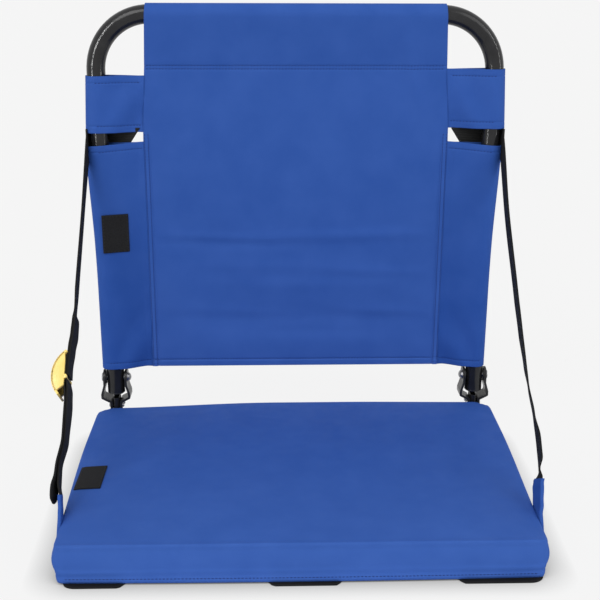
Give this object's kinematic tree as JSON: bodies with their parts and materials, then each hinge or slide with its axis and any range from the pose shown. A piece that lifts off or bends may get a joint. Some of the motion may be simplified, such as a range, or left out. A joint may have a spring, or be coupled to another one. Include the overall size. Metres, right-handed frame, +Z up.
{
  "type": "stadium seat",
  "caption": "Folding stadium seat: a flat padded cushion with a cloth back on an arched tube that folds down on riveted side hinges, held by side straps.",
  "frame": {"origin": "centre of the seat's underside", "axes": "+Z up, -Y the way the sitter faces, +X to the right of someone looking at the seat's front"},
  "size_m": [0.4445, 0.3146, 0.4682],
  "materials": {
    "blue_cloth": "coated plain weave",
    "black_cloth": "coated plain weave",
    "black_patch": "hook and loop pile",
    "black_webbing": "woven webbing",
    "foam": "closed-cell foam",
    "black_tube": "black enamel",
    "black_plate": "black enamel",
    "rivet_steel": "dark plated steel",
    "nylon": "moulded",
    "hardboard": "hardboard",
    "yellow_plastic": "moulded"
  },
  "bodies": {
    "seat": {"seat_cover": "blue_cloth", "seat_flap_right": "blue_cloth", "seat_flap_left": "blue_cloth", "seat_bottom_panel": "black_cloth", "seat_loop_patch": "black_patch", "strap_lower_left": "black_webbing", "seat_foam": "foam", "seat_frame_tube": "black_tube", "seat_rear_crossbar": "black_tube", "hinge_outer_plate_right": "black_plate", "hinge_outer_plate_left": "black_plate", "hinge_inner_plate_right": "black_plate", "hinge_inner_plate_left": "black_plate", "hinge_pivot_right": "rivet_steel", "hinge_pivot_left": "rivet_steel", "plate_rivets_right": "rivet_steel", "plate_rivets_left": "rivet_steel", "board_screws": "rivet_steel", "outer_washer_right": "nylon", "outer_washer_left": "nylon", "inner_washer_right": "nylon", "inner_washer_left": "nylon", "seat_board": "hardboard", "ladder_lock": "yellow_plastic"},
    "back": {"back_frame_tube": "black_tube", "back_sleeve": "blue_cloth", "back_upper_tab_right": "blue_cloth", "back_upper_tab_left": "blue_cloth", "back_lower_wing_right": "blue_cloth", "back_lower_wing_left": "blue_cloth", "back_hook_patch": "black_patch", "tube_end_plug_right": "nylon", "tube_end_plug_left": "nylon", "strap_right": "black_webbing", "strap_upper_left": "black_webbing"}
  },
  "joints": [
    {"name": "back_fold", "type": "hinge", "parent": "seat", "child": "back", "pos_m": [0, 0.156, 0.068], "axis": [1, 0, 0], "range_deg": [-4, 92.5], "deforming": ["strap_right", "strap_upper_left"]}
  ]
}
